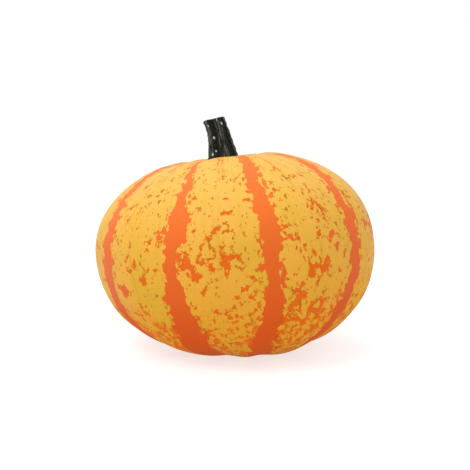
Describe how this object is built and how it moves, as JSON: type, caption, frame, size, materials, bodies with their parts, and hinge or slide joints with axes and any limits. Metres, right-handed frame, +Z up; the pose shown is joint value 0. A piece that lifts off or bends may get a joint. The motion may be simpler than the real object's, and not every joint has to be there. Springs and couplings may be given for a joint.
{
  "type": "decorative pumpkin",
  "caption": "Small squat ornamental pumpkin, yellow with orange stripes and flecks, shallow lobes and a short dark cut stem; rests on a flat at its base.",
  "frame": {"origin": "on the surface that the pumpkin rests on, below the middle of the whole object's box", "axes": "+Z up, towards the stem; the front shown in the picture faces -Y; the stem leans towards -X"},
  "size_m": [0.1116, 0.1118, 0.0943],
  "materials": {
    "rind": "satin",
    "stem": "matte"
  },
  "bodies": {
    "root": {"fruit": "rind", "stem": "stem"}
  },
  "joints": []
}
